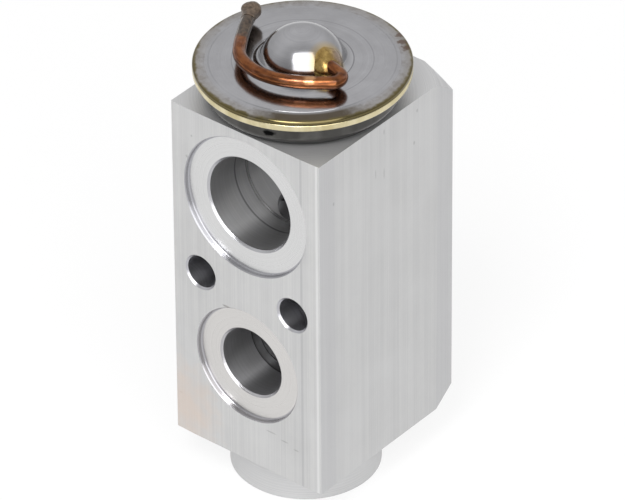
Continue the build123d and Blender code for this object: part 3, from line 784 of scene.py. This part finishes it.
# %% Polished steel with heat tint
disc_height = 92.5
braze_halo = (7.3, -1.1, 95.5)
front_of_disc = (13.2, -14.0, disc_height)
rim_stains = [(12.6, 15.4, disc_height), (10.8, 16.5, disc_height), (9.0, 18.1, disc_height)]
dark_rings = [(9.5, 9.85, 0.6), (13.3, 13.6, 0.3)]  # radius from, to, and strength
black_blot_place = (6.34, -17.91, 88.2)


def head_rings(tree):
    """Polishing marks of 0.12 mm, about as fine as the render can show, and wider waves of the sheet."""
    reach = distance_mm(tree, valve_flat)
    fine, wide = lines_along(tree, reach, 0.12), lines_along(tree, reach, 1.1)
    return add_node(tree, "Mix", {0: 0.4, 2: fine, 3: wide}, data_type="FLOAT")


def cover_colour(tree):
    reach = distance_mm(tree, valve_flat)
    ragged_reach = uneven_edge(tree, reach, grain(tree, 2.6, 3.0, 0.6), -0.35, 0.35)
    outside = add_node(tree, "MapRange", {0: reach, 1: 17.7, 2: 18.6})
    cloudy = grain(tree, 1.8, 4.0, 0.65, centre=(5, 2, 0))
    mottling = add_node(tree, "Math", {0: cloudy, 1: outside}, operation="MULTIPLY")
    towards_front = mark(tree, front_of_disc, 11.5, ragged=0.8)
    front_tint_and_reflection = add_node(tree, "Math", {0: towards_front, 1: outside}, operation="MULTIPLY")
    tone = tint(tree, "#9F9FA2", "#AEAEB1", head_rings(tree), 0.35, 0.65)
    tone = tint(tree, tone, "#8E8D90", grain(tree, 5.0, 4.0, 0.6), 0.35, 0.7, 0.4)
    tone = tint(tree, tone, "#77767A", speckle(tree, 1.6, 0.05, 7.0), strength=0.5)
    tone = tint(tree, tone, "#7A6C50", ragged_reach, 18.2, 20.4, 0.36)
    tone = tint(tree, tone, "#5E4E3C", mottling, 0.46, 0.66, 0.3)
    # Partly a brown tint and partly a painted dark reflection: the front of the outer band is darkened.
    tone = tint(tree, tone, "#4C4233", front_tint_and_reflection, strength=0.9)
    tone = tint(tree, tone, "#655C3F", ragged_reach, 20.1, 20.6)
    # Dark thin rings on the disc at the listed radii.
    for low, high, strength in dark_rings:
        tone = tint(tree, tone, "#4E4D52", between(tree, reach, low, high, 0.15), strength=strength)
    tone = tint(tree, tone, "#B89A52", mark(tree, braze_halo, 4.6), strength=0.8)
    for centre in rim_stains:
        tone = tint(tree, tone, "#5E4A3C", mark(tree, centre, 1.1, ragged=0.5), strength=0.8)
    return tone


def case_colour(tree):
    streak = grain(tree, 2.4, 3.0, stretch=(1, 1, 0.3))
    rim = tint(tree, "#DCD2B0", "#C7BB92", streak, 0.35, 0.65)
    # Painted shade: the waist under the rim gets a dark steel tone.
    shaded_waist = tint(tree, "#545351", "#464543", streak, 0.35, 0.65)
    tone = tint(tree, shaded_waist, rim, position_mm(tree, "Z"), 89.7, 90.3)
    # A small black blot on the case's waist.
    return tint(tree, tone, "#0C0C0C", mark(tree, black_blot_place, 0.75, (0.5, 0.5, 1), 0.22))


def case_relief(tree):
    return grain(tree, 0.5, 2.0, stretch=(1, 1, 0.2))


# Polished stainless steel: a clear mirror with faint rings, stained straw and brown beside the weld, and
# painted darker at the front of its outer band, partly as a dark reflection.
cover_steel = finish("polished_cover_steel", cover_colour, (0.12, 0.20), head_rings, 0.0012)
# Rolled steel tinted by the weld: a pale golden rim above a waist painted dark as shade, both with short,
# soft streaks.
case_steel = finish("tinted_case_steel", case_colour, 0.24, case_relief, 0.004)
print(cover_steel.name, case_steel.name)

# %% [markdown]
# ## Cover of the power head
# The cover is a pressed disc with a dome in its middle. It could be cut from a sphere and a cone, but a
# spun profile gives one clean sheet. The dome's arc comes from spinning a point about its centre. Another
# spin about the centre of the press radius turns it into the cone, and short runs make step and rim.

# %% Helpers for pressed shapes
def spin_point(build, start, centre, angle, steps):
    """Spins one point about a centre in the plane of the profile and hands back the point it ends at."""
    middle = (centre.x * MM, 0, centre.y * MM)
    made = bmesh.ops.spin(build, geom=[start], axis=(0, 1, 0), cent=middle, angle=angle, steps=steps)
    return [v for v in made["geom_last"] if isinstance(v, bmesh.types.BMVert)][0]


def ring_edges(build, radius, height, slack=0.02):
    """The loop of edges that a lathed corner made, found by its radius and height in millimetres."""
    def on_ring(vert):
        beside, above = vert.co.xy.length - radius * MM, vert.co.z - height * MM
        return abs(beside) < slack * MM and abs(above) < slack * MM
    return [edge for edge in build.edges if all(on_ring(v) for v in edge.verts)]


def round_ring(build, radius, height, offset, segments=4):
    """Rounds a lathed corner and hands back how many edges its ring had."""
    loop = ring_edges(build, radius, height)
    bmesh.ops.bevel(build, geom=loop, offset=offset * MM, segments=segments, profile=0.5, affect="EDGES",
                    material=-1)
    return len(loop)


print("a point spins into an arc, and a ring of edges is rounded")

# %% Head cover
dome_radius = 8.6
dome_centre = dome_top - dome_radius
dome_foot = 92.85
press_radius = 1.5
cover_sheet, step_height, step_foot = 0.8, 1.1, 0.05
cover_top, step_top = cover_bottom + cover_sheet, cover_bottom + step_height
step_radius, step_slope, rim_chamfer, press_edge = 17.7, 0.25, 0.3, 0.14
cover_steps = 224


def dome_line(build, radius, foot_height, end, press):
    """Dome and press radius in one line from the top to the start of the cone that runs to end."""
    centre = Vector((0, dome_centre))
    foot = Vector((sqrt(radius**2 - (foot_height - dome_centre)**2), foot_height))
    along = (Vector(end) - foot).normalized()
    upward = Vector((-along.y, along.x))
    start = foot + upward * press - centre
    slide = -start.dot(along) + sqrt(start.dot(along)**2 - start.length_squared + (radius + press)**2)
    press_centre = centre + start + along * slide
    top = build.verts.new((0, 0, (dome_centre + radius) * MM))
    to_press = press_centre - centre
    dome_end = spin_point(build, top, centre, Vector((0, 1)).angle(to_press), 26)
    return spin_point(build, dome_end, press_centre, -to_press.angle(upward), 10)


cover_run = [(step_radius, step_top), (step_radius + step_slope, cover_top + step_foot),
             (rim_radius - rim_chamfer, cover_top), (rim_radius, cover_top - rim_chamfer),
             (rim_radius, cover_bottom), (step_radius, cover_bottom), (step_radius, step_top - cover_sheet)]
cover_build = bmesh.new()
run = chain(cover_build, cover_run)
outer_end = dome_line(cover_build, dome_radius, dome_foot, cover_run[0], press_radius)
inner_end = dome_line(cover_build, dome_radius - cover_sheet, dome_foot - cover_sheet, cover_run[-1],
                      press_radius + cover_sheet)
cover_build.edges.new((outer_end, run[0]))
cover_build.edges.new((run[-1], inner_end))
lathe(cover_build, cover_steps)
rounded = [round_ring(cover_build, radius, height, press_edge, 3) for radius, height in cover_run[:4]]
cover = new_piece("cover", cover_build, cover_steel)
shade(cover.data, 30.0)
stand_for(cover, "head_cover")
print("rings rounded", rounded)

# %% [markdown]
# ## Case of the power head
# The case carries the neck that screws into the block and flares out to a waist under the rim. Its rim
# is a little thicker than the cover's and stands under it with a thin groove between them, where the edge
# of the diaphragm is welded in.

# %% Head case
case_top = (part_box("head_case")[1] / MM).z
rim_height, flare_height, floor_height, land_slope = 1.6, 2.1, 2.7, 1.2
rim_bottom = case_top - rim_height
waist_radius, waist_bottom = 19.0, block_top + flare_height
foot_radius = 17.0
neck_radius, neck_bore, neck_chamfer, neck_length = 10.0, 6.9, 0.3, 5.0
neck_end = block_top - neck_length
land_radius, inner_radius = 17.6, 16.4
inner_top, inner_floor = case_top - land_slope, block_top + floor_height
case_run = [
    (neck_bore, neck_end), (neck_radius - neck_chamfer, neck_end), (neck_radius, neck_end + neck_chamfer),
    (neck_radius, block_top), (foot_radius, block_top), (waist_radius, waist_bottom),
    (waist_radius, rim_bottom), (rim_radius, rim_bottom), (rim_radius, case_top), (land_radius, case_top),
    (inner_radius, inner_top), (inner_radius, inner_floor), (neck_bore, inner_floor), (neck_bore, neck_end),
]
# Radius, height, size of the round and its segments, for each ring of edges that is rounded.
case_rounds = [
    (waist_radius, rim_bottom, 1.0, 6),
    (rim_radius, rim_bottom, 0.75, 6),
    (waist_radius, waist_bottom, 0.6, 5),
    (foot_radius, block_top, 0.3, 3),
    (rim_radius, case_top, 0.15, 3),
]
case_build = bmesh.new()
chain(case_build, case_run)
lathe(case_build, cover_steps)
rounded = [round_ring(case_build, *ring) for ring in case_rounds]
case = new_piece("case", case_build, case_steel)
shade(case.data, 30.0)
stand_for(case, "head_case")
print("rings rounded", rounded)

# %% [markdown]
# ## Charging tube
# A thin copper tube leaves the dome sideways, turns back on itself and runs round the dome above the disc.
# A curve with a round bevel makes such a tube in one step. Its corner points are the bend corners of the
# real tube, and one more point beside each of the first two bends keeps those bends tight. Drawing the
# tube through a ring left streaks along it, here 0.3 mm wide and more, so that they show.

# %% Copper finish
tube_height = 95.45
tube_route = [(5.0, -0.9), (9.9, -2.32), (12.25, -3.0), (12.7, -5.4), (10.79, -6.92), (7.9, -9.2),
              (2.7, -11.8), (-2.5, -11.9), (-7.2, -10.1), (-10.0, -6.4), (-13.0, -1.1), (-15.4, 3.55)]
tip_place = Vector((*tube_route[-1], tube_height))
tip_way = (Vector(tube_route[-1]) - Vector(tube_route[-2])).normalized().to_3d()
painted_highlight_place = (8.8, -8.6, 96.3)


def drawn_grain(tree, feature, centre=(0, 0, 0), along=0.13):
    """Streaks along the tube. It lies level, so noise that is squeezed in x and y runs along it."""
    return grain(tree, feature, 3.0, 0.6, stretch=(along, along, 1), centre=centre)


def copper_colour(tree):
    bright = tint(tree, "#8B5836", "#683D26", drawn_grain(tree, 0.32), 0.36, 0.64)
    # Pale pink streaks along the tube: partly drawn streaks, partly a painted sheen.
    bright = tint(tree, bright, "#A88070", drawn_grain(tree, 0.45, (4, 8, 1)), 0.54, 0.70, 0.45)
    bright = tint(tree, bright, "#452C22", drawn_grain(tree, 0.7, (9, 4, 2), 0.3), 0.50, 0.68, 0.75)
    # Painted highlight: a pale spot on the front run of the tube.
    bright = tint(tree, bright, "#E3B184", mark(tree, painted_highlight_place, 1.5, ragged=0.3), strength=0.5)
    burnt = tint(tree, "#403A36", "#6E6054", grain(tree, 0.8, 4.0, 0.7), 0.35, 0.65)
    to_tip = distance_mm(tree, centre=tip_place)
    away = uneven_edge(tree, to_tip, grain(tree, 1.5, 3.0), -1.2, 1.2)
    return tint(tree, bright, burnt, away, 11.2, 9.2)


def copper_relief(tree):
    return drawn_grain(tree, 0.55)


# Drawn copper: red-brown and glossy with streaks along it, some pale pink ones partly a painted sheen, a
# painted highlight on the front run, and burnt to a dull grey-brown beside the tip.
copper = finish("drawn_copper", copper_colour, (0.16, 0.30), copper_relief, 0.008)
print(copper.name)

# %% Tube
tube_radius = 1.3
tube_dents = [(2.6, 0.05), (0.9, 0.02)]


def roughen(build, waves, sunk=0.0):
    """Moves each point along its normal by smooth noise of these wavelengths and heights."""
    for vert in build.verts:
        lump = sum(noise.noise(vert.co / (wave * MM)) * height for wave, height in waves) - sunk
        vert.co += vert.normal * lump * MM


tube_curve = bpy.data.curves.new("charging_tube_line", "CURVE")
tube_curve.dimensions = "3D"
tube_spline = tube_curve.splines.new("NURBS")
tube_spline.points.add(len(tube_route) - 1)
for point, (x, y) in zip(tube_spline.points, tube_route):
    point.co = (x * MM, y * MM, tube_height * MM, 1)
tube_spline.order_u = 3
tube_spline.use_endpoint_u = True
tube_spline.resolution_u = 14
tube_curve.bevel_depth = tube_radius * MM
tube_curve.bevel_resolution = 7
tube_curve.use_fill_caps = True
tube_holder = bpy.data.objects.new("tube_holder", tube_curve)
bpy.context.scene.collection.objects.link(tube_holder)
tube_shape = tube_holder.evaluated_get(bpy.context.evaluated_depsgraph_get())
tube_mesh = bpy.data.meshes.new_from_object(tube_shape)
bpy.data.objects.remove(tube_holder)
tube_build = bmesh.new()
tube_build.from_mesh(tube_mesh)
bmesh.ops.remove_doubles(tube_build, verts=tube_build.verts, dist=0.005 * MM)
bmesh.ops.recalc_face_normals(tube_build, faces=tube_build.faces)
roughen(tube_build, tube_dents)
tube = new_piece("copper_tube", tube_build, copper)
shade(tube.data, 40.0)
stand_for(tube, "charging_tube")

# %% [markdown]
# ## Soldered tip
# The tube's end was pinched shut and dipped in solder, which froze as a lumpy drop. A spun profile gives
# the drop, and a little noise on its points gives the lumps. Its neck overlaps the tube a little.

# %% Solder finish
def solder_colour(tree):
    tone = tint(tree, "#524840", "#7E6E60", grain(tree, 0.7, 4.0, 0.7), 0.35, 0.65)
    return tint(tree, tone, "#A39686", speckle(tree, 0.9, 0.2, 1.0), strength=0.4)


def solder_relief(tree):
    return grain(tree, 0.35, 3.0, 0.6)


# Flowed solder: dull, grainy and brown-grey, with a few paler specks.
solder = finish("flowed_solder", solder_colour, (0.30, 0.50), solder_relief, 0.05, metallic=0.85)
print(solder.name)

# %% Tip
tip_radius = 1.95
tip_neck = [(0, -3.2), (1.36, -3.2), (1.45, -2.4), (1.5, -1.6), (1.65, -0.95), (1.84, -0.55)]
tip_lumps, tip_sink, tip_steps = [(1.7, 0.22), (0.7, 0.09)], 0.06, 48
tip_build = bmesh.new()
neck = chain(tip_build, tip_neck)
ball_top = tip_build.verts.new((0, 0, tip_radius * MM))
ball_end = spin_point(tip_build, ball_top, Vector((0, 0)), radians(98), 9)
tip_build.edges.new((neck[-1], ball_end))
lathe(tip_build, tip_steps)
bmesh.ops.rotate(tip_build, verts=tip_build.verts, matrix=tip_way.to_track_quat("Z", "Y").to_matrix())
bmesh.ops.translate(tip_build, verts=tip_build.verts, vec=tip_place * MM)
tip_build.normal_update()
roughen(tip_build, tip_lumps, tip_sink)
tip = new_piece("solder_tip", tip_build, solder)
shade(tip.data, 60.0)
stand_for(tip, "tube_tip")

# %% [markdown]
# ## Braze
# Where the tube enters the dome, brass braze flowed into a smooth golden fillet. It hugs two shapes at
# once, so it is built as a disc of points around the tube that are each slid along the tube's direction
# until they lie on the dome, and then lifted like the cap of a drop.

# %% Braze finish
warm_spot = (8.6, 1.4, 96.8)
tube_side = (10.4, -2.4, tube_height)


def braze_colour(tree):
    gold = tint(tree, "#B89C60", "#8A7040", grain(tree, 1.6, 3.0, 0.6), 0.35, 0.65)
    gold = tint(tree, gold, "#98857A", distance_mm(tree, centre=warm_spot), 2.6, 1.4, 0.8)
    gold = tint(tree, gold, "#5B3A26", distance_mm(tree, centre=tube_side), 2.8, 1.4, 0.9)
    burnt = grain(tree, 1.1, 3.0, 0.6, centre=(3, 1, 5))
    return tint(tree, gold, "#5E4424", burnt, 0.50, 0.70, 0.45)


def braze_relief(tree):
    return grain(tree, 0.9, 2.0)


# Flowed brass: glossy warm gold, with darker burnt patches and a brown edge beside the tube.
braze_metal = finish("flowed_braze", braze_colour, (0.20, 0.30), braze_relief, 0.004)
print(braze_metal.name)

# %% Braze
dome_middle = Vector((0, 0, dome_centre))
tube_start = Vector((*tube_route[0], tube_height))
tube_way = (Vector(tube_route[2]) - Vector(tube_route[0])).normalized().to_3d()
sideways = Vector((0, 0, 1)).cross(tube_way)
braze_inner, braze_width, drop_radius = 1.25, 2.3, 3.9
braze_rows, braze_steps, braze_wall, braze_sink = 16, 64, 0.25, 0.12
braze_lean = sideways * 0.5 + Vector((0, 0, -1.2))
cap_foot = sqrt(drop_radius**2 - (braze_inner + braze_width)**2)


def on_braze(across, up):
    """Where a point of the flat disc lies on the braze, all in millimetres. The outermost fifth sinks
    into the dome, so that no edge stands off it."""
    reach = sqrt(across**2 + up**2)
    outer_share = (reach - braze_inner) / braze_width
    wobble = 1 + 0.10 * outer_share * noise.noise(Vector((across, up, 4.0)) / 2.2)
    swell = sqrt(drop_radius**2 - min(reach, drop_radius)**2) - cap_foot
    beside = (sideways * across + Vector((0, 0, up))) * wobble
    from_axis = tube_start + beside + braze_lean * outer_share
    gap = from_axis - dome_middle
    along = gap.dot(tube_way)
    on_dome = -along + sqrt(max(along**2 - gap.length_squared + dome_radius**2, 0.04))
    place = from_axis + tube_way * (on_dome + max(0.0, swell))
    return place - (place - dome_middle).normalized() * braze_sink * max(0.0, outer_share - 0.8) * 5


braze_build = bmesh.new()
chain(braze_build, [(braze_inner + braze_width * row / braze_rows, 0) for row in range(braze_rows + 1)])
lathe(braze_build, braze_steps)
for vert in braze_build.verts:
    vert.co = on_braze(vert.co.x / MM, vert.co.y / MM) * MM
bmesh.ops.recalc_face_normals(braze_build, faces=braze_build.faces)
braze = new_piece("braze", braze_build, braze_metal)
thicken = braze.modifiers.new("wall", "SOLIDIFY")
thicken.thickness = braze_wall * MM
thicken.offset = -1
apply_modifiers(braze)
shade(braze.data, 60.0)
stand_for(braze, "tube_braze")

# %% [markdown]
# ## Pieces inside the valve
# Nothing inside shows in the photograph, but the ports are wide open and the adjusting plug is seen from
# below. The inner pieces keep their CAD shape. Where a round piece can be seen through a port, a merged
# copy with smooth shading stands in for it, because the CAD mesh has flat facets.

# %% Inner finishes
def even_turning(low, high):
    """Colour of a small turned piece: rings along the valve axis between two tones."""
    return lambda tree: tint(tree, low, high, valve_rings(tree), 0.3, 0.7)


def rubber_colour(tree):
    return tint(tree, "#1B1E1B", "#3A3D3A", grain(tree, 0.5, 3.0), 0.5, 0.8, 0.3)


def rubber_relief(tree):
    return grain(tree, 0.3, 2.0)


# Cold-rolled strip: bright even grey. Ground steel: darker and glossier.
spring_strip = finish("cold_rolled_strip", even_turning("#9C9C9E", "#B0B0B2"), 0.3, valve_rings, 0.004)
ground_steel = finish("ground_steel", even_turning("#8E8E91", "#A8A8AB"), 0.26, valve_rings, 0.003)
# Turned aluminium and brass: pale grey and yellow, each with fine rings that catch the light.
turned_rod = finish("turned_rod_aluminium", even_turning("#B4B4B5", "#C8C8C8"), 0.32, valve_rings, 0.006)
turned_brass = finish("turned_brass", even_turning("#B08A3E", "#C9A355"), 0.28, valve_rings, 0.006)
# Moulded rubber: nearly black with a soft sheen, its grain drawn 0.3 mm wide so that it shows. Turned
# fluoroplastic: off-white and waxy.
rubber = finish("moulded_rubber", rubber_colour, 0.55, rubber_relief, 0.01, metallic=0.0)
fluoroplastic = finish("turned_fluoroplastic", even_turning("#D6D5D0", "#E4E3DE"), 0.45, valve_rings, 0.004,
                       metallic=0.0)
inner_finishes = [spring_strip, ground_steel, turned_rod, turned_brass, rubber, fluoroplastic]
print([material.name for material in inner_finishes])

# %% Finishes of the CAD nodes
node_finishes = {
    "diaphragm": spring_strip, "seal_retainer": spring_strip, "damping_spring": spring_strip,
    "seat_ring": ground_steel, "push_pin": ground_steel, "valve_ball": ground_steel,
    "main_spring": ground_steel, "thrust_pad": turned_rod, "sensing_rod": turned_rod,
    "ball_carrier": turned_brass, "adjusting_plug": turned_brass,
    "head_seal": rubber, "rod_seal": rubber, "plug_seal": rubber, "seal_backup": fluoroplastic,
    "valve_block": extruded, "head_case": case_steel, "head_cover": cover_steel,
    "charging_tube": copper, "tube_braze": braze_metal, "tube_tip": solder,
}
for node_name, material in node_finishes.items():
    node = frame["nodes"][node_name]
    node.data.materials.clear()
    node.data.materials.append(material)
print(len(node_finishes), "CAD nodes have a finish")

# %% Smooth stand-ins for the pieces seen through the ports
bodies = {node: body for body, nodes in frame["record"]["behaviour"]["bodies"].items() for node in nodes}
seen_inside = ("sensing_rod", "thrust_pad", "adjusting_plug", "seal_retainer", "seal_backup", "seat_ring",
               "valve_ball", "push_pin", "ball_carrier")


def merged_copy(node_name):
    """A bmesh of a CAD node whose loose triangles are joined at their corners."""
    build = bmesh.new()
    build.from_mesh(frame["nodes"][node_name].data)
    bmesh.ops.remove_doubles(build, verts=build.verts, dist=0.001 * MM)
    return build


for node_name in seen_inside:
    source = merged_copy(node_name)
    bmesh.ops.dissolve_limit(source, angle_limit=radians(0.2), verts=source.verts, edges=source.edges)
    copy = new_piece(node_name + "_smooth", source, node_finishes[node_name])
    shade(copy.data, 28.0)
    stand_for(copy, node_name, bodies[node_name])

# %% [markdown]
# ## Superheat spring
# The spring stands between the adjusting plug and the ball carrier, which move on their own. It is cut in
# two at half its height, and each half is closed where it was cut.

# %% Main spring in two halves
spring_low, spring_high = [corner.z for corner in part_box("main_spring")]
spring_middle = (spring_low + spring_high) / 2


def spring_half(name, seat):
    """The half of the spring between its middle and a seat, given by the seat's height."""
    build = merged_copy("main_spring")
    everything = build.verts[:] + build.edges[:] + build.faces[:]
    middle = (0, 0, spring_middle)
    away = Vector((0, 0, spring_middle - seat)).normalized()
    bmesh.ops.bisect_plane(build, geom=everything, plane_co=middle, plane_no=away, clear_outer=True)
    bmesh.ops.holes_fill(build, edges=[edge for edge in build.edges if edge.is_boundary], sides=0)
    bmesh.ops.recalc_face_normals(build, faces=build.faces)
    half = new_piece(name, build, ground_steel)
    shade(half.data, 28.0)
    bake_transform(half)
    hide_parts("main_spring")
    print(half.name, "with", len(half.data.polygons), "faces")


spring_half("main_spring_lower", spring_low)
spring_half("main_spring_upper", spring_high)
